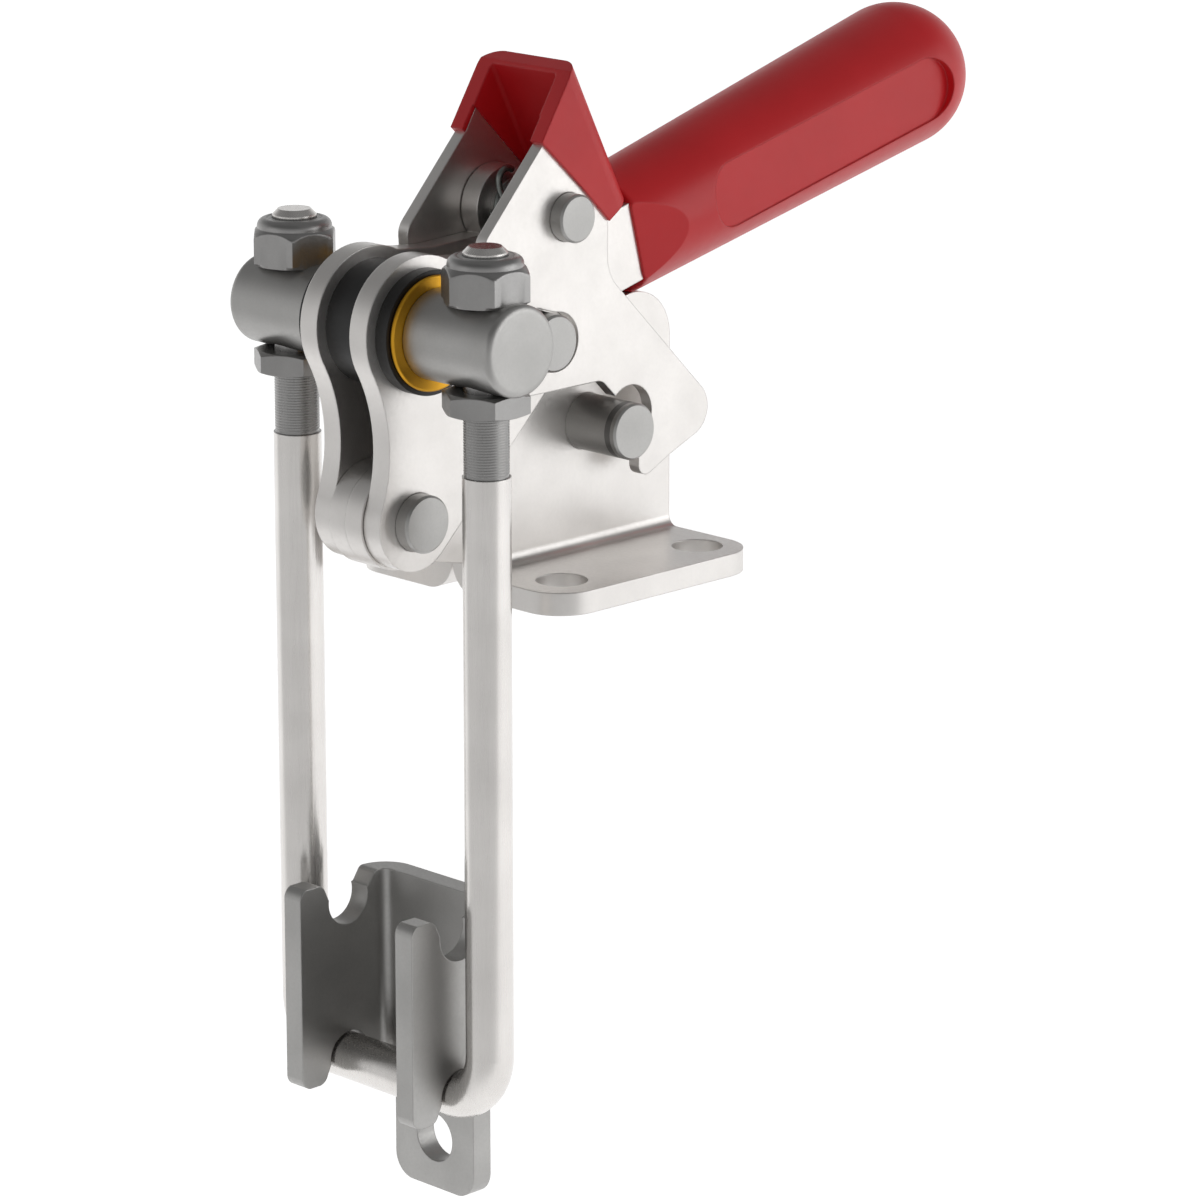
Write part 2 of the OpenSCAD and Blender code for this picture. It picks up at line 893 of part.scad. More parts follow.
// Hexagon with its corners bevelled at both ends, foot at z = 0.
module hexagon(h, turn) {
    intersection() {
        rotate([0, 0, turn])
            cylinder(r = nut_corner_r, h = h, $fn = 6);
        rotate_extrude()
            polygon([
                [0, 0],
                [nut_af / 2 - 0.2, 0],
                [nut_corner_r + 0.2, nut_bevel],
                [nut_corner_r + 0.2, h - nut_bevel],
                [nut_af / 2 - 0.2, h],
                [0, h]
            ]);
    }
}

collar_r = nut_af / 2 - 0.35;
collar_top_r = 5.9;
insert_depth = 1.6;
insert_rise = 0.35;

// Lock nut: hexagon, rounded collar and a recess for the insert.
module lock_nut(side, turn) {
    color("DarkGray")
        translate([side * leg_x, trunnion_y, trunnion_z + trunnion_r])
            difference() {
                union() {
                    hexagon(lock_hex_h, turn);
                    rotate_extrude()
                        polygon([
                            [0, 0],
                            [collar_r, 0],
                            [collar_r, lock_nut_h - insert_depth],
                            [collar_top_r + 0.5, lock_nut_h - 0.4],
                            [collar_top_r, lock_nut_h],
                            [0, lock_nut_h]
                        ]);
                }
                translate([0, 0, -overlap])
                    cylinder(r = thread_r + nut_gap, h = lock_nut_h + 2 * overlap);
                translate([0, 0, lock_nut_h - insert_depth])
                    cylinder(r = insert_r, h = insert_depth + overlap);
            }
}

module lock_nut_right() {
    lock_nut(1, nut_turn);
}

module lock_nut_left() {
    lock_nut(-1, left_nut_turn);
}

// Ring insert seated in the top of a lock nut.
module nut_insert(side) {
    color("LightGray")
        translate([side * leg_x, trunnion_y, trunnion_z + trunnion_r + lock_nut_h - insert_depth])
            rotate_extrude()
                polygon([
                    [thread_r + nut_gap, 0],
                    [insert_r, 0],
                    [insert_r, insert_depth],
                    [insert_r - 0.3, insert_depth + insert_rise],
                    [thread_r + nut_gap, insert_depth + insert_rise]
                ]);
}

module nut_insert_right() {
    nut_insert(1);
}

module nut_insert_left() {
    nut_insert(-1);
}

module jam_nut(side) {
    color("DarkGray")
        translate([side * leg_x, trunnion_y, trunnion_z - trunnion_r - jam_nut_h])
            difference() {
                hexagon(jam_nut_h, nut_turn);
                translate([0, 0, -overlap])
                    cylinder(r = thread_r + nut_gap, h = jam_nut_h + 2 * overlap);
            }
}

module jam_nut_right() {
    jam_nut(1);
}

module jam_nut_left() {
    jam_nut(-1);
}

// Heights of the catch plate, with the lower seat on the bar of the U-bolt.
catch_mid_z = bolt_z + catch_mid;
catch_top_z = catch_mid_z + catch_top;
tab_z = bolt_z - tab_drop;
catch_front_y = trunnion_y + catch_back;
catch_rear_y = catch_front_y + catch_t;
prong_y = trunnion_y - prong_front;
ear_in = catch_width / 2 - catch_t;
prong_tip = catch_mid + 4.1;

// Half of the ear's side view above the middle: prong, round seat and the slope up to the plate.
module ear_half() {
    difference() {
        outline([
            [prong_y, -overlap, 0],
            [catch_rear_y, -overlap, 0],
            [catch_rear_y, catch_top, 0],
            [trunnion_y + 6.8, catch_top, 1.5],
            [trunnion_y + seat_r + 0.3, catch_mid + 1.5, 0],
            [trunnion_y, catch_mid, 0],
            [trunnion_y - seat_r, catch_mid + 0.8, 0],
            [prong_y + prong_w + 0.3, prong_tip, 2.2],
            [prong_y, prong_tip, 2.2]
        ]);
        translate([trunnion_y, catch_mid])
            circle(seat_r);
    }
}

// Both ears in side view, the same above and below the middle.
module ear_shape() {
    translate([0, catch_mid_z]) {
        ear_half();
        mirror([0, 1])
            ear_half();
    }
}

// Section of the catch plate seen from above: back wall, two bends and two ears.
module catch_section() {
    outer_r = catch_bend_r + catch_t;
    difference() {
        union() {
            translate([-catch_width / 2, prong_y])
                square([catch_width, catch_rear_y - prong_y - outer_r]);
            translate([outer_r - catch_width / 2, prong_y])
                square([catch_width - 2 * outer_r, catch_rear_y - prong_y]);
            for (s = [-1, 1])
                translate([s * (catch_width / 2 - outer_r), catch_rear_y - outer_r])
                    circle(outer_r);
        }
        translate([-ear_in, prong_y - overlap])
            square([2 * ear_in, catch_front_y - prong_y + overlap - catch_bend_r]);
        translate([catch_bend_r - ear_in, prong_y - overlap])
            square([2 * ear_in - 2 * catch_bend_r, catch_front_y - prong_y + overlap]);
        for (s = [-1, 1])
            translate([s * (ear_in - catch_bend_r), catch_front_y - catch_bend_r])
                circle(catch_bend_r);
    }
}

// Catch plate: channel with two hooks on each ear and a tab with one hole.
module catch_plate() {
    color("DimGray") {
        intersection() {
            translate([0, 0, tab_z])
                linear_extrude(catch_top_z - tab_z)
                    catch_section();
            slab(-catch_width / 2 - overlap, catch_width / 2 + overlap)
                ear_shape();
        }
        translate([0, catch_rear_y, 0])
            rotate([90, 0, 0])
                linear_extrude(catch_t)
                    difference() {
                        union() {
                            translate([-tab_w / 2, tab_z + tab_corner_r])
                                square([tab_w, catch_mid_z - tab_z - tab_corner_r]);
                            translate([tab_corner_r - tab_w / 2, tab_z])
                                square([tab_w - 2 * tab_corner_r, tab_corner_r + overlap]);
                            for (s = [-1, 1])
                                translate([s * (tab_w / 2 - tab_corner_r), tab_z + tab_corner_r])
                                    circle(tab_corner_r);
                        }
                        translate([0, tab_z + tab_hole_up])
                            circle(tab_hole_d / 2);
                    }
    }
}

base_plate_right();
base_plate_left();
pivot_pin();
stop_pin();
side_plate_right();
side_plate_left();
grip();
guide_pin();
release_pin();
release_spring();
release_lever();
release_cover();
center_spacer();
side_spacer_right();
side_spacer_left();
brass_washer_right();
brass_washer_left();
cross_shaft();
trunnion_right();
trunnion_left();
u_bolt();
lock_nut_right();
lock_nut_left();
nut_insert_right();
nut_insert_left();
jam_nut_right();
jam_nut_left();
catch_plate();
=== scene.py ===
"""Looks of the hook toggle clamp: finishes, threads, nuts, grip, spring, camera and studio."""
import json
import math

import bmesh
import bpy
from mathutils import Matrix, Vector


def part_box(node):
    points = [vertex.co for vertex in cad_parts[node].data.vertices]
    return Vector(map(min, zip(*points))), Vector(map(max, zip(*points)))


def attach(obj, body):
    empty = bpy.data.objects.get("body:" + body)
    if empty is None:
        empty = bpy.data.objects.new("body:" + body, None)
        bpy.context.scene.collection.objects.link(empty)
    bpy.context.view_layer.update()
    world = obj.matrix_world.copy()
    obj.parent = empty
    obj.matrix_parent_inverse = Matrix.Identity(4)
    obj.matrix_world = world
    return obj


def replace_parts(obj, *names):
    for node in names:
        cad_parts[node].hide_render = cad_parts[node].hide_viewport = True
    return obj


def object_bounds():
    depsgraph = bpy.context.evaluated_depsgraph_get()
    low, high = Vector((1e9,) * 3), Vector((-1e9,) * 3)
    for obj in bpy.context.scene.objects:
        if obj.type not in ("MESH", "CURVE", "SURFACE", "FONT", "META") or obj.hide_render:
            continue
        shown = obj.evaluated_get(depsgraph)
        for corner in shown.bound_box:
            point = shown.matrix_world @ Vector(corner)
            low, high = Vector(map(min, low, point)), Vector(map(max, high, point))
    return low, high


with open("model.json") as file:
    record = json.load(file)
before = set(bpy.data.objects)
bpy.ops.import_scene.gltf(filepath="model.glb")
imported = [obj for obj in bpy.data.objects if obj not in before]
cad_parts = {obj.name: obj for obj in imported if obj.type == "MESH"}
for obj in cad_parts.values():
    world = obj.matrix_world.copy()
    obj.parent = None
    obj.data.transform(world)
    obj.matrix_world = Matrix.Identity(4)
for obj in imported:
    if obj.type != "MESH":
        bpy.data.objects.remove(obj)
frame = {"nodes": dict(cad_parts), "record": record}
cad_low, cad_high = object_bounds()

MM = 0.001
TURN = 2.0 * math.pi

# Photo camera: turn and rise in degrees, the point in the middle of the picture, its distance,
# and the focal length in pixels of the picture.
CAMERA_AZIMUTH = 45.0
CAMERA_ELEVATION = 15.0
CAMERA_TARGET = Vector((0.0, 11.2 * MM, -8.56 * MM))
CAMERA_DISTANCE = 982.5 * MM
CAMERA_CLIP = (0.05, 30.0)
FOCAL_PX = 5270.0
PICTURE_PX = 1200
SENSOR_MM = 36.0

# U-bolt threads between the plain legs and the jam nuts. The half crest is a share of the pitch.
THREAD_LEN = 40.9 * MM
THREAD_PITCH = 0.5 * MM
THREAD_CREST = 4.07 * MM
THREAD_ROOT = 3.97 * MM
THREAD_HALF_CREST = 0.08
THREAD_STEPS = 40
STUD_BEVEL = 1.3 * MM

# Lock nuts: size across the flats, angle of a corner, depth of the seat in the trunnion block, then
# the side view: how far the foot runs past the flats and where it is full, chamfer, round collar
# (radius and foot), height and bore. Heights count from the top of the trunnion block.
NUT_FLATS = 14.2 * MM
NUT_CORNER_TURN = {"right": 27.0, "left": 15.0}
NUT_SEAT = 0.8 * MM
NUT_FOOT = (0.1 * MM, 0.6 * MM)
NUT_CHAMFER_FOOT = 4.3 * MM
NUT_CHAMFER_POWER = 1.4
NUT_COLLAR = (6.75 * MM, 5.8 * MM)
NUT_COLLAR_ROUND = 1.5 * MM
NUT_HEIGHT = 7.6 * MM
NUT_BORE = 5.0 * MM
NUT_STEPS = 96
NUT_ROWS = 14
NUT_SHARP = math.radians(25.0)

# Release spring: wire, coils, then the arm. SPRING_LEAD lists how the wire goes over from the last
# coil to the arm: rise in mm and share of the way across. SPRING_LEAN is how far it moves out for
# each mm of rise. The hook at the top is bent in steps.
WIRE_RADIUS = 0.6 * MM
WIRE_AROUND = 14
SPRING_TURNS = 5
SPRING_STEPS = 40
SPRING_PITCH = 1.28 * MM
SPRING_ARM_X = -0.6 * MM
SPRING_LEAD = ((1.0, 0.1), (2.0, 0.4), (3.0, 0.75), (4.0, 0.95), (5.0, 1.0))
SPRING_LEAN = 0.05 * MM
SPRING_HOOK_DROP = 3.2 * MM
SPRING_HOOK_R = 2.0 * MM
SPRING_HOOK_STEP = math.radians(13.0)
SPRING_HOOK_STEPS = 10

# Grip along its own axis: rise, length to the ball's centre, radius at the near end, flats, recesses.
GRIP_TILT = math.radians(14.5)
GRIP_LENGTH = 81.5 * MM
GRIP_NEAR_R = 11.8 * MM
GRIP_EDGE = 0.9 * MM
GRIP_EDGE_STEPS = 12
GRIP_BALL_STEPS = 48
GRIP_AROUND = 144
GRIP_SHARP = math.radians(12.0)
FLAT_HALF = 8.95 * MM
FLAT_SLOPE = math.tan(math.radians(16.6))
RECESS_DEPTH = 1.95 * MM
RECESS_START = 18.0 * MM
RECESS_END = 83.5 * MM
RECESS_WIDTH = 12.4 * MM
RECESS_STEPS = 48
# Relief under the near end, where the grip lies on the hump of the base: half width, and its roof
# as distance along the axis and height above it.
REST_HALF = 4.6 * MM
REST_LINE = ((-5.0 * MM, -10.85 * MM), (0.0, -10.85 * MM), (4.2 * MM, -12.1 * MM))
# How far the cutters reach around the grip, and before its near end.
CUT_REACH = 40.0 * MM
CUT_BEFORE = 10.0 * MM

# Dark bands of the stop pin, as distance from the middle of the clamp.
BAND = (14.2 * MM, 15.6 * MM)


# ---- Shader nodes ----

# Part of the 0 to 1 range in which a noise texture mostly lies, and its plain stretch.
NOISE_RANGE = (0.3, 0.7)
EVEN = (1.0, 1.0, 1.0)
BEVEL_SAMPLES = 6


class Nodes:
    """A node tree, with short ways to add, set and link its nodes."""

    def __init__(self, tree):
        self.tree = tree

    def add(self, kind, **inputs):
        """New node; an input is a number, a colour or a socket."""
        node = self.tree.nodes.new(kind)
        for key, value in inputs.items():
            self.feed(node.inputs[key], value)
        return node

    def feed(self, socket, value):
        """Links a socket to another one, or sets its constant."""
        if isinstance(value, bpy.types.NodeSocket):
            self.tree.links.new(value, socket)
        else:
            socket.default_value = value

    def work_out(self, operation, *values, kind="ShaderNodeMath"):
        """Math node on sockets or numbers."""
        node = self.add(kind)
        node.operation = operation
        for socket, value in zip(node.inputs, values):
            self.feed(socket, value)
        return node

    def spread(self, value, first, second, interpolation="LINEAR"):
        """Maps one range of a value to another, and holds it there outside the range."""
        node = self.add("ShaderNodeMapRange", Value=value)
        node.interpolation_type = interpolation
        for name, level in zip(("From Min", "From Max", "To Min", "To Max"), first + second):
            node.inputs[name].default_value = level
        return node.outputs["Result"]


class Shader(Nodes):
    """Nodes of a new material, with textures in the row frame."""

    def __init__(self, name):
        self.material = bpy.data.materials.new(name)
        self.material.use_nodes = True
        super().__init__(self.material.node_tree)
        self.surface = self.tree.nodes["Principled BSDF"]
        self.place = self.add("ShaderNodeTexCoord").outputs["Object"]

    def look(self, **values):
        """Sets inputs of the surface; an underscore stands for a space."""
        for key, value in values.items():
            self.feed(self.surface.inputs[key.replace("_", " ")], value)

    def noise(self, scale, detail, stretch=EVEN):
        """Noise; scale counts features in a metre."""
        place = self.add("ShaderNodeMapping", Vector=self.place, Scale=stretch).outputs[0]
        return self.add("ShaderNodeTexNoise", Vector=place, Scale=scale, Detail=detail).outputs["Fac"]

    def span(self, noise, low, high):
        """Spreads a noise over low to high."""
        return self.spread(noise, NOISE_RANGE, (low, high))

    def blend(self, factor, first, second):
        """Mix of two colours or sockets."""
        node = self.add("ShaderNodeMix")
        node.data_type = "RGBA"
        for key, value in (("Factor", factor), ("A", first), ("B", second)):
            self.feed(node.inputs[key], value)
        return node.outputs["Result"]

    def relief(self, height, distance, strength, edge):
        """Fine relief on softened edges; distance and edge are in metres."""
        soft = self.add("ShaderNodeBevel", Radius=edge)
        soft.samples = BEVEL_SAMPLES
        bump = self.add("ShaderNodeBump", Height=height, Distance=distance, Strength=strength)
        self.feed(bump.inputs["Normal"], soft.outputs["Normal"])
        self.look(Normal=bump.outputs["Normal"])


def rgb(red, green, blue):
    """Colour from 0 to 255 screen values."""
    def linear(c):
        c /= 255.0
        return c / 12.92 if c <= 0.04045 else ((c + 0.055) / 1.055) ** 2.4
    return (linear(red), linear(green), linear(blue), 1.0)


# ---- Finishes ----

# Light and dark tone of each metal and plastic.
PLATE = rgb(228, 225, 222), rgb(214, 211, 208)
STEEL = rgb(182, 181, 179), rgb(166, 165, 163)
NUT_STEEL = rgb(164, 163, 162), rgb(146, 145, 144)
SPRING_STEEL = rgb(132, 136, 133), rgb(104, 107, 105)
BRASS = rgb(230, 172, 48), rgb(214, 156, 38)
GRIP_RED = rgb(230, 34, 42), rgb(220, 28, 36)
DIP_RED = rgb(228, 36, 42), rgb(214, 28, 36)
BLACK = rgb(26, 26, 27), rgb(18, 18, 19)
NYLON = rgb(206, 206, 204), rgb(190, 190, 188)
BAND_STEEL = rgb(120, 119, 118)
# Metals: scale and detail of the clouds, detail of the grain, how much of the dark tone each adds,
# how far the grain moves the roughness, and height and strength of the relief.
METAL_CLOUD = (90.0, 5.0)
METAL_GRAIN_DETAIL = 6.0
METAL_CLOUD_SHARE = 0.8
METAL_GRAIN_SHARE = 0.18
METAL_ROUGH_SPREAD = (-0.05, 0.06)
METAL_RELIEF = (0.01 * MM, 0.2)
# Plastics: scale and detail of the flow marks and of the skin, what the skin does to the roughness,
# and height of the relief.
PLASTIC_CLOUD = (60.0, 3.0)
PLASTIC_SKIN = (700.0, 2.0)
PLASTIC_ROUGH_SPREAD = (-0.02, 0.03)
PLASTIC_RELIEF = 0.03 * MM
# Stretch of the rod's grain, drawn out along its legs.
DRAWN = (1.0, 1.0, 0.05)


def metal(name, tones, metallic, rough, grain, stretch=EVEN, edge=0.35 * MM):
    """Worked metal: cloudy tone, fine grain in tone and roughness, a little relief, softened edges."""
    s = Shader(name)
    light, dark = tones
    cloud = s.noise(*METAL_CLOUD)
    fine = s.noise(grain, METAL_GRAIN_DETAIL, stretch)
    tone = s.blend(s.span(cloud, 0.0, METAL_CLOUD_SHARE), light, dark)
    smoother, rougher = METAL_ROUGH_SPREAD
    s.look(
        Base_Color=s.blend(s.span(fine, 0.0, METAL_GRAIN_SHARE), tone, dark),
        Metallic=metallic,
        Roughness=s.span(fine, rough + smoother, rough + rougher),
    )
    s.relief(fine, *METAL_RELIEF, edge)
    return s


def plastic(name, tones, rough, edge, orange_peel=0.05):
    """Moulded or dipped plastic: faint flow marks, an uneven skin, softened edges."""
    s = Shader(name)
    cloud = s.noise(*PLASTIC_CLOUD)
    skin = s.noise(*PLASTIC_SKIN)
    smoother, rougher = PLASTIC_ROUGH_SPREAD
    s.look(
        Base_Color=s.blend(s.span(cloud, 0.0, 1.0), *tones),
        Roughness=s.span(skin, rough + smoother, rough + rougher),
    )
    s.relief(skin, PLASTIC_RELIEF, orange_peel, edge)
    return s


def plated(name):
    """Bright plated sheet steel."""
    return metal(name, PLATE, metallic=0.9, rough=0.34, grain=1400.0)


def pin_steel(name):
    """Duller steel of the turned pins."""
    return metal(name, STEEL, metallic=0.85, rough=0.38, grain=2200.0, edge=0.2 * MM)


def tint(s, value, low, high, colour):
    """Lays another colour where a value lies between two others."""
    inside = s.work_out("COMPARE", value, (low + high) / 2, (high - low) / 2).outputs[0]
    under = s.surface.inputs["Base Color"].links[0].from_socket
    s.look(Base_Color=s.blend(inside, under, colour))


def threaded_rod(name):
    """Bright drawn rod, darker over its two threaded ends."""
    s = metal(name, PLATE, metallic=0.95, rough=0.24, grain=2400.0, stretch=DRAWN)
    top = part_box("u_bolt")[1].z
    height = s.add("ShaderNodeSeparateXYZ", Vector=s.place).outputs["Z"]
    tint(s, height, top - THREAD_LEN, top - STUD_BEVEL, NUT_STEEL[1])
    return s


def banded_pin(name):
    """Pin with a dark band near each end."""
    s = pin_steel(name)
    across = s.add("ShaderNodeSeparateXYZ", Vector=s.place).outputs["X"]
    tint(s, s.work_out("ABSOLUTE", across).outputs[0], *BAND, BAND_STEEL)
    return s


FINISHES = {
    "plated_base": plated("plated_base"),
    "plated_handle": plated("plated_handle"),
    "plated_lever": plated("plated_lever"),
    "steel_pins": pin_steel("steel_pins"),
    "steel_blocks": metal("steel_blocks", STEEL, metallic=0.85, rough=0.36, grain=2200.0, edge=0.8 * MM),
    "steel_nuts": metal("steel_nuts", NUT_STEEL, metallic=0.85, rough=0.34, grain=2600.0, edge=0.2 * MM),
    "bright_rod": threaded_rod("bright_rod_with_threads"),
    "spring_wire": metal("spring_wire", SPRING_STEEL, metallic=0.85, rough=0.3, grain=3000.0, edge=0.1 * MM),
    "grey_catch": metal("grey_catch", STEEL, metallic=0.85, rough=0.4, grain=1800.0),
    "brass_washers": metal("brass_washers", BRASS, metallic=0.8, rough=0.36, grain=900.0, edge=0.15 * MM),
    "red_grip": plastic("red_grip", GRIP_RED, rough=0.38, edge=0.5 * MM),
    "red_dip": plastic("red_dip", DIP_RED, rough=0.4, edge=0.5 * MM, orange_peel=0.1),
    "black_spacers": plastic("black_spacers", BLACK, rough=0.42, edge=0.2 * MM),
    "nylon_inserts": plastic("nylon_inserts", NYLON, rough=0.4, edge=0.15 * MM),
}
# Pieces whose finish differs from the others of their slot.
OWN_FINISHES = {"stop_pin": banded_pin("steel_pin_with_bands")}


def dress(obj, slot, finish=None):
    """Gives a piece the finish of a record slot, or its own one kept under that slot."""
    obj.data.materials.clear()
    obj.data.materials.append((finish or FINISHES[slot]).material)


# ---- Meshes ----

def new_object(name, data):
    """Object of a mesh, lamp or camera, in the scene."""
    obj = bpy.data.objects.new(name, data)
    bpy.context.scene.collection.objects.link(obj)
    return obj


def new_mesh(name, verts, faces):
    """Mesh of points and faces."""
    mesh = bpy.data.meshes.new(name)
    mesh.from_pydata(verts, [], faces)
    mesh.update()
    return mesh


def piece(name, mesh, slot, body, sharp=None):
    """Smooth piece that rides on a body; edges bent by more than the sharp angle stay sharp."""
    mesh.polygons.foreach_set("use_smooth", [True] * len(mesh.polygons))
    if sharp:
        mesh.set_sharp_from_angle(angle=sharp)
    obj = new_object(name, mesh)
    dress(obj, slot)
    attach(obj, body)
    return obj


def solid(name, verts, faces):
    """Closed body with its faces turned outward, for a cut."""
    mesh = new_mesh(name, verts, faces)
    shape = bmesh.new()
    shape.from_mesh(mesh)
    bmesh.ops.recalc_face_normals(shape, faces=shape.faces)
    shape.to_mesh(mesh)
    shape.free()
    return new_object(name, mesh)


def prism(name, inner, outer):
    """Closed body between two outlines with as many points."""
    count = len(inner)
    faces = [tuple(range(count)), tuple(range(2 * count - 1, count - 1, -1))]
    faces += [(i, count + i, count + (i + 1) % count, (i + 1) % count) for i in range(count)]
    return solid(name, inner + outer, faces)


def cut_away(body, cutters):
    """Mesh of a body without its cutters, which are removed with it."""
    for cutter in cutters:
        cut = body.modifiers.new(cutter.name, "BOOLEAN")
        cut.operation = "DIFFERENCE"
        cut.solver = "EXACT"
        cut.object = cutter
    whole = bpy.data.meshes.new_from_object(body.evaluated_get(bpy.context.evaluated_depsgraph_get()))
    for spare in [body] + cutters:
        bpy.data.objects.remove(spare)
    return whole


# ---- Threads and lock nuts ----

def thread(name, axis, z_low, z_high):
    """Screw thread as one helical band around an upright axis."""
    turns = (z_high - z_low) / THREAD_PITCH
    count = int(turns * THREAD_STEPS)
    profile = (
        (THREAD_ROOT, -0.5),
        (THREAD_CREST, -THREAD_HALF_CREST),
        (THREAD_CREST, THREAD_HALF_CREST),
        (THREAD_ROOT, 0.5),
    )
    verts, faces = [], []
    for i in range(count + 1):
        turn = i / THREAD_STEPS
        angle = TURN * turn
        middle = z_low + (turn + 0.5) * THREAD_PITCH
        fade = max(0.0, min(1.0, turn, turns - turn))
        for radius, step in profile:
            r = THREAD_ROOT + (radius - THREAD_ROOT) * fade
            z = min(max(middle + step * THREAD_PITCH, z_low), z_high)
            verts.append((axis.x + r * math.cos(angle), axis.y + r * math.sin(angle), z))
    side = len(profile)
    for i in range(count):
        for k in range(side - 1):
            a = side * i + k
            faces.append((a, a + side, a + side + 1, a + 1))
    return piece(name, new_mesh(name, verts, faces), "steel_nuts", "bolt")


def nut_side_view():
    """Greatest radius and height of each row, from the seat up over the collar and down the bore."""
    half = NUT_FLATS / 2
    widest = half / math.cos(math.pi / 6)
    collar_r, collar_z = NUT_COLLAR
    foot_out, foot_up = NUT_FOOT
    rows = [(half + foot_out, -NUT_SEAT), (widest, foot_up - NUT_SEAT)]
    for k in range(NUT_ROWS + 1):
        share = k / NUT_ROWS
        z = NUT_CHAMFER_FOOT + (collar_z - NUT_CHAMFER_FOOT) * share
        rows.append((widest - (widest - collar_r) * share ** NUT_CHAMFER_POWER, z))
    round_z = NUT_HEIGHT - NUT_COLLAR_ROUND
    for k in range(NUT_ROWS + 1):
        a = math.pi / 2 * k / NUT_ROWS
        r = collar_r - NUT_COLLAR_ROUND * (1 - math.cos(a))
        rows.append((r, round_z + NUT_COLLAR_ROUND * math.sin(a)))
    return rows + [(NUT_BORE, NUT_HEIGHT), (NUT_BORE, -NUT_SEAT)]


def lock_nut(name, axis, corner):
    """Hexagon that runs into a round collar; axis is where it meets the block, corner is an angle."""
    def reach(angle, limit):
        off = (angle - corner) % (math.pi / 3) - math.pi / 6
        return min(NUT_FLATS / 2 / math.cos(off), limit)

    rows = nut_side_view()
    verts, faces = [], []
    for limit, z in rows:
        for i in range(NUT_STEPS):
            angle = corner + TURN * i / NUT_STEPS
            r = reach(angle, limit)
            verts.append((axis.x + r * math.cos(angle), axis.y + r * math.sin(angle), axis.z + z))
    for k in range(len(rows)):
        a, b = k * NUT_STEPS, (k + 1) % len(rows) * NUT_STEPS
        for i in range(NUT_STEPS):
            n = (i + 1) % NUT_STEPS
            faces.append((a + i, a + n, b + n, b + i))
    return piece(name, new_mesh(name, verts, faces), "steel_nuts", "bolt", NUT_SHARP)


def threads_and_nuts():
    """Threads between the plain legs and the jam nuts, and the domed lock nuts."""
    bolt_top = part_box("u_bolt")[1].z
    for side in ("left", "right"):
        jam_low, jam_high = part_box("jam_nut_" + side)
        axis = (jam_low + jam_high) / 2
        thread("thread_low_" + side, axis, bolt_top - THREAD_LEN, jam_low.z)
        axis.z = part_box("lock_nut_" + side)[0].z
        nut = lock_nut("domed_nut_" + side, axis, math.radians(NUT_CORNER_TURN[side]))
        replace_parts(nut, "lock_nut_" + side)


# ---- Grip ----

class GripAxis:
    """Axis of the grip, from the near end to the centre of the ball at the far end."""

    def __init__(self):
        low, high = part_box("grip")
        self.far_r = (high.x - low.x) / 2
        self.ahead = Vector((0.0, math.cos(GRIP_TILT), math.sin(GRIP_TILT)))
        self.up = Vector((0.0, -math.sin(GRIP_TILT), math.cos(GRIP_TILT)))
        ball = Vector((0.0, high.y - self.far_r, high.z - self.far_r))
        self.near = ball - self.ahead * GRIP_LENGTH
        self.taper = (self.far_r - GRIP_NEAR_R) / GRIP_LENGTH

    def at(self, x, along, rise):
        """Point by distance across, along and above the axis."""
        return self.near + Vector((x, 0.0, 0.0)) + self.ahead * along + self.up * rise

    def prism_aside(self, name, side, outline, inside):
        """Cutter from the distance inside(along) out past the grip's side; outline is along and above."""
        inner = [self.at(side * inside(s), s, t) for s, t in outline]
        outer = [self.at(side * CUT_REACH, s, t) for s, t in outline]
        return prism(name, inner, outer)


def grip_round(axis):
    """Tapered round body with a rounded near edge and half a ball at its far end."""
    lean = math.asin(axis.taper)
    profile = []
    for k in range(GRIP_EDGE_STEPS + 1):
        a = math.pi / 2 * k / GRIP_EDGE_STEPS
        profile.append((GRIP_NEAR_R - GRIP_EDGE * (1 - math.sin(a)), GRIP_EDGE * (1 - math.cos(a))))
    for k in range(GRIP_BALL_STEPS):
        a = -lean + (math.pi / 2 + lean) * k / GRIP_BALL_STEPS
        profile.append((axis.far_r * math.cos(a), GRIP_LENGTH + axis.far_r * math.sin(a)))
    verts = [axis.at(0.0, 0.0, 0.0), axis.at(0.0, GRIP_LENGTH + axis.far_r, 0.0)]
    for radius, along in profile:
        for i in range(GRIP_AROUND):
            a = TURN * i / GRIP_AROUND
            verts.append(axis.at(radius * math.cos(a), along, radius * math.sin(a)))
    faces = []
    last = 2 + (len(profile) - 1) * GRIP_AROUND
    for i in range(GRIP_AROUND):
        n = (i + 1) % GRIP_AROUND
        faces.append((0, 2 + i, 2 + n))
        faces.append((1, last + n, last + i))
        for k in range(len(profile) - 1):
            a = 2 + k * GRIP_AROUND
            faces.append((a + i, a + GRIP_AROUND + i, a + GRIP_AROUND + n, a + n))
    return solid("grip_body", verts, faces)


def flat_cutter(axis, side):
    """Cuts the flat that narrows one side toward the near end."""
    near, far = -CUT_BEFORE, CUT_REACH
    outline = [(near, -CUT_REACH), (far, -CUT_REACH), (far, CUT_REACH), (near, CUT_REACH)]
    return axis.prism_aside("flat_cutter", side, outline, lambda along: FLAT_HALF + FLAT_SLOPE * along)


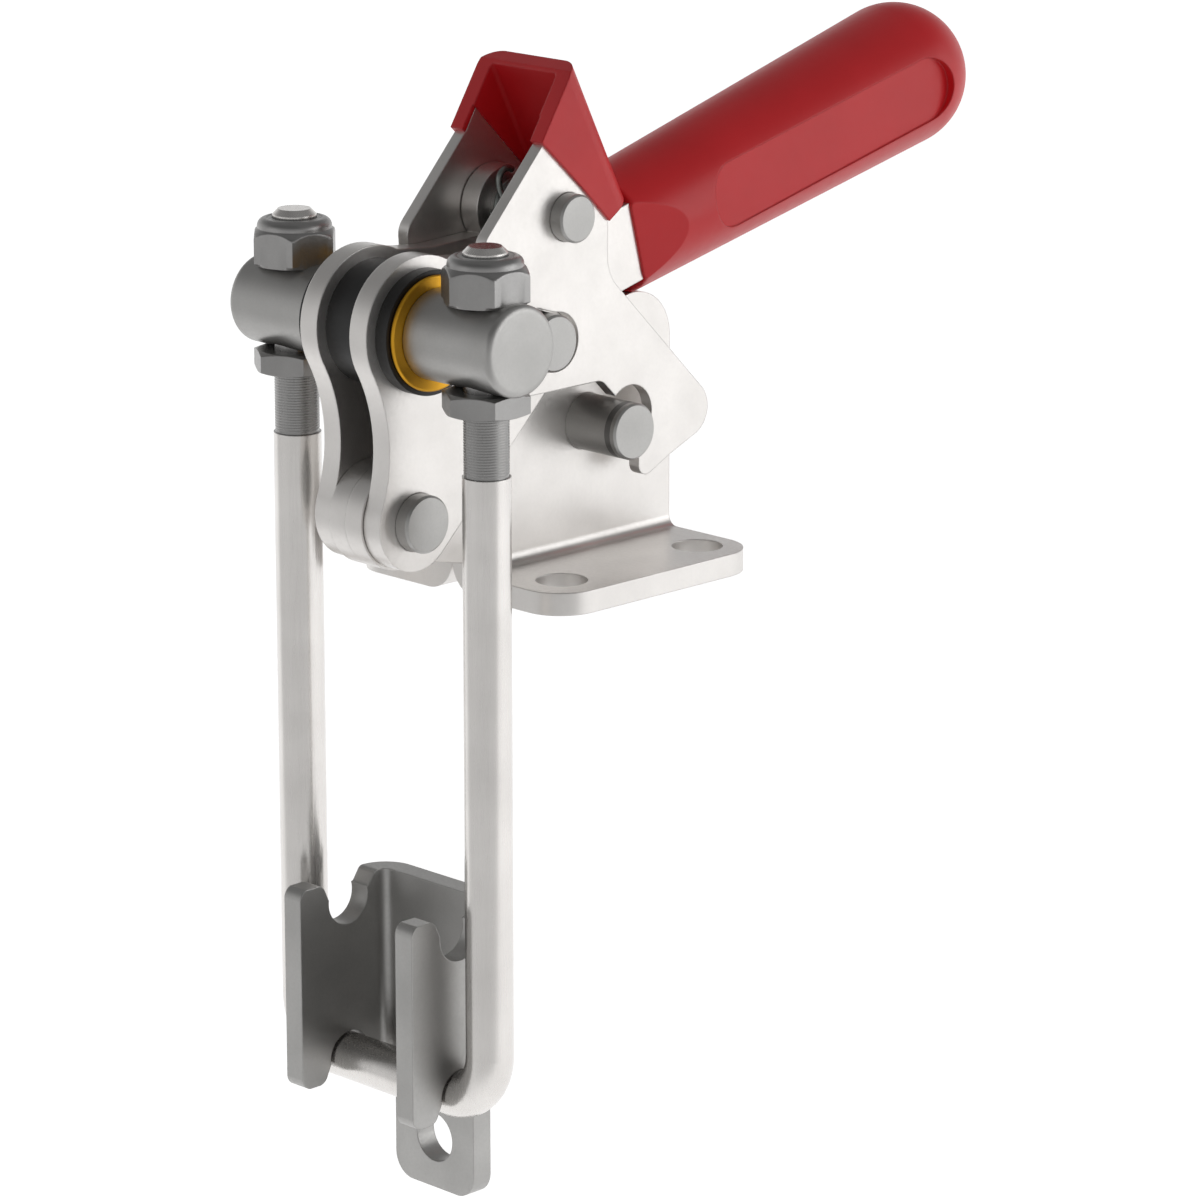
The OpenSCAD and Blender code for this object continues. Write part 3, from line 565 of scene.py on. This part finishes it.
def recess_cutter(axis, side):
    """Cuts the long round-ended recess of one side, as deep all along."""
    middle = (RECESS_START + RECESS_END) / 2
    end_r = RECESS_WIDTH / 2
    end = middle + (RECESS_END - RECESS_START) / 2 - end_r
    outline = []
    for i in range(RECESS_STEPS + 1):
        a = math.pi * i / RECESS_STEPS - math.pi / 2
        outline.append((end + end_r * math.cos(a), end_r * math.sin(a)))
    outline += [(2 * middle - s, -t) for s, t in outline]
    floor = GRIP_NEAR_R - RECESS_DEPTH
    return axis.prism_aside("recess_cutter", side, outline, lambda along: floor + axis.taper * along)


def rest_cutter(axis):
    """Cuts the relief over the hump of the base."""
    outline = list(REST_LINE) + [(s, -CUT_REACH) for s, t in reversed(REST_LINE)]
    return prism("rest_cutter", *[[axis.at(x, s, t) for s, t in outline] for x in (-REST_HALF, REST_HALF)])


def grip():
    """Grip with its full near end, its flats and its recesses."""
    axis = GripAxis()
    cutters = []
    for side in (-1, 1):
        cutters += [flat_cutter(axis, side), recess_cutter(axis, side)]
    whole = cut_away(grip_round(axis), cutters + [rest_cutter(axis)])
    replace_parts(piece("grip_body_shaped", whole, "red_grip", "handle", GRIP_SHARP), "grip")


# ---- Release spring ----

def tube(name, path, radius):
    """Mesh of a round wire along a path of points."""
    verts, faces = [], []
    side = Vector((1, 0, 0))
    for i, point in enumerate(path):
        ahead = (path[min(i + 1, len(path) - 1)] - path[max(i - 1, 0)]).normalized()
        side = (side - ahead * side.dot(ahead)).normalized()
        up = ahead.cross(side)
        for k in range(WIRE_AROUND):
            a = TURN * k / WIRE_AROUND
            verts.append(point + side * (radius * math.cos(a)) + up * (radius * math.sin(a)))
    for i in range(len(path) - 1):
        a, b = i * WIRE_AROUND, (i + 1) * WIRE_AROUND
        for k in range(WIRE_AROUND):
            n = (k + 1) % WIRE_AROUND
            faces.append((a + k, a + n, b + n, b + k))
    faces.append(tuple(range(WIRE_AROUND - 1, -1, -1)))
    faces.append(tuple(range((len(path) - 1) * WIRE_AROUND, len(path) * WIRE_AROUND)))
    return new_mesh(name, verts, faces)


def spring():
    """Release spring as one wire: coils around the release pin, a straight arm and a hook."""
    low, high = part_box("release_spring")
    pin_low, pin_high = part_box("release_pin")
    hub = (pin_low + pin_high) / 2
    coil = hub.y - low.y - WIRE_RADIUS
    width = SPRING_PITCH * SPRING_TURNS
    steps = SPRING_STEPS * SPRING_TURNS
    wire = []
    for i in range(steps + 1):
        turn = TURN * i / SPRING_STEPS
        x = hub.x - width / 2 + WIRE_RADIUS + (width - 2 * WIRE_RADIUS) * i / steps
        wire.append(Vector((x, hub.y - coil * math.cos(turn), hub.z - coil * math.sin(turn))))
    coil_end = wire[-1].x
    for rise, share in SPRING_LEAD:
        x = coil_end + (SPRING_ARM_X - coil_end) * share
        wire.append(Vector((x, hub.y - coil - SPRING_LEAN * rise, hub.z + rise * MM)))
    arm_y = wire[-1].y
    arm_z = high.z - SPRING_HOOK_DROP
    for i in range(SPRING_HOOK_STEPS + 1):
        a = SPRING_HOOK_STEP * i
        y = arm_y + SPRING_HOOK_R * (1 - math.cos(a))
        wire.append(Vector((SPRING_ARM_X, y, arm_z + SPRING_HOOK_R * math.sin(a))))
    name = "spring_wire_coils"
    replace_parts(piece(name, tube(name, wire, WIRE_RADIUS), "spring_wire", "handle"), "release_spring")


# ---- Studio ----

# The sky is pale up to HORIZON_RISE and dark from SKY_RISE on, both as the height of a unit vector.
HORIZON = 0.9
HORIZON_RISE = 0.15
SKY_DARK = 0.24
SKY_RISE = 0.6
# The room is dimmer in front of the clamp, where the photo's camera doesn't look. DIM_WAY points
# there, and each row says where along it the fall starts and ends, and to what share it goes.
DIM_WAY = (0.26, -0.97, 0.0)
DIM_SKY = (0.1, 0.5, 0.62)
# For the floor this fall is painted shade: its colour and glow get darker in front of the clamp, so the
# metal reflects a dimmer room there.
PAINTED_FLOOR_SHADE = (0.08, 0.22, 0.62)
# The floor lies below the lowest pose of the U-bolt.
FLOOR_SPAN = 8.0
FLOOR_DROP = 45.0 * MM
FLOOR_GLOW = 0.8
PAPER_GRAIN = (900.0, 4.0)
PAPER_TONES = (0.93, 0.93, 0.93, 1.0), (0.9, 0.9, 0.9, 1.0)
PAPER_ROUGH = 0.9
PAPER_SHINE = 0.1
UNLIT = (0.0, 0.0, 0.0, 1.0)
WHITE = (1.0, 1.0, 1.0, 1.0)
# Name, place and size in metres, and power in watts of each soft box.
LAMPS = (
    ("side", (1.1, 0.85, 0.3), 1.1, 3.4),
    ("front", (-0.55, -1.3, 0.2), 1.0, 0.8),
)


def dimmed(nodes, place, dim, level=1.0):
    """Full level behind and beside the clamp, falling to a share of it in front."""
    start, stop, share = dim
    along = nodes.work_out("DOT_PRODUCT", place, DIM_WAY, kind="ShaderNodeVectorMath").outputs["Value"]
    return nodes.spread(along, (start, stop), (level, share * level), "SMOOTHSTEP")


def background_rays(nodes):
    """One for camera, glossy and transmission rays, nought for the rest."""
    path = nodes.add("ShaderNodeLightPath")
    total = path.outputs["Is Camera Ray"]
    for kind in ("Is Glossy Ray", "Is Transmission Ray"):
        either = nodes.work_out("ADD", total, path.outputs[kind])
        either.use_clamp = True
        total = either.outputs[0]
    return total


def sky():
    """World that is pale at the horizon and dark above it."""
    world = bpy.data.worlds.new("studio")
    bpy.context.scene.world = world
    world.use_nodes = True
    world.node_tree.nodes.clear()
    nodes = Nodes(world.node_tree)
    place = nodes.add("ShaderNodeTexCoord").outputs["Generated"]
    height = nodes.add("ShaderNodeSeparateXYZ", Vector=place).outputs["Z"]
    rise = nodes.work_out("ABSOLUTE", height).outputs[0]
    pale = nodes.spread(rise, (HORIZON_RISE, SKY_RISE), (HORIZON, SKY_DARK))
    lit = nodes.add("ShaderNodeBackground", Color=pale, Strength=dimmed(nodes, place, DIM_SKY))
    nodes.add("ShaderNodeOutputWorld", Surface=lit.outputs[0])


def paper():
    """White paper that shows as the photo's white ground and keeps the shadow of the clamp."""
    s = Shader("floor_paper")
    grain = s.span(s.noise(*PAPER_GRAIN), 0.0, 1.0)
    # Painted shade: the paper's glow and its colour fall toward black in front of the clamp, so the metal
    # reflects a dimmer room there.
    glow = s.work_out("MULTIPLY", background_rays(s), dimmed(s, s.place, PAINTED_FLOOR_SHADE, FLOOR_GLOW))
    s.look(
        Base_Color=s.blend(dimmed(s, s.place, PAINTED_FLOOR_SHADE), UNLIT, s.blend(grain, *PAPER_TONES)),
        Roughness=PAPER_ROUGH,
        Specular_IOR_Level=PAPER_SHINE,
        Emission_Color=WHITE,
        Emission_Strength=glow.outputs[0],
    )
    return s


def paper_floor():
    """Sheet of paper below the clamp."""
    z = cad_low.z - FLOOR_DROP
    rim = FLOOR_SPAN
    corners = [(-rim, -rim, z), (rim, -rim, z), (rim, rim, z), (-rim, rim, z)]
    floor = new_object("floor", new_mesh("floor", corners, [(0, 1, 2, 3)]))
    floor.data.materials.append(paper().material)


def lamps():
    """Soft boxes aimed at the clamp."""
    for name, position, size, power in LAMPS:
        data = bpy.data.lights.new(name, "AREA")
        data.shape = "SQUARE"
        data.size = size
        data.energy = power
        lamp = new_object(name, data)
        lamp.location = position
        lamp.rotation_mode = "QUATERNION"
        lamp.rotation_quaternion = (-Vector(position)).to_track_quat("-Z", "Y")


def photo_camera():
    """Camera at the photo's angle."""
    azimuth = math.radians(CAMERA_AZIMUTH)
    elevation = math.radians(CAMERA_ELEVATION)
    level = math.cos(elevation)
    back = Vector((math.sin(azimuth) * level, -math.cos(azimuth) * level, math.sin(elevation)))
    data = bpy.data.cameras.new("photo_camera")
    data.sensor_width = SENSOR_MM
    data.lens = SENSOR_MM * FOCAL_PX / PICTURE_PX
    data.clip_start, data.clip_end = CAMERA_CLIP
    camera = new_object("photo_camera", data)
    camera.location = CAMERA_TARGET + back * CAMERA_DISTANCE
    camera.rotation_mode = "QUATERNION"
    camera.rotation_quaternion = (-back).to_track_quat("-Z", "Y")
    bpy.context.scene.camera = camera


# ---- The scene ----

for row in frame["record"]["subparts"]:
    dress(frame["nodes"][row["node"]], row["material_slot"], OWN_FINISHES.get(row["node"]))
threads_and_nuts()
grip()
spring()

bpy.context.scene.view_settings.view_transform = "Standard"
sky()
paper_floor()
lamps()
photo_camera()
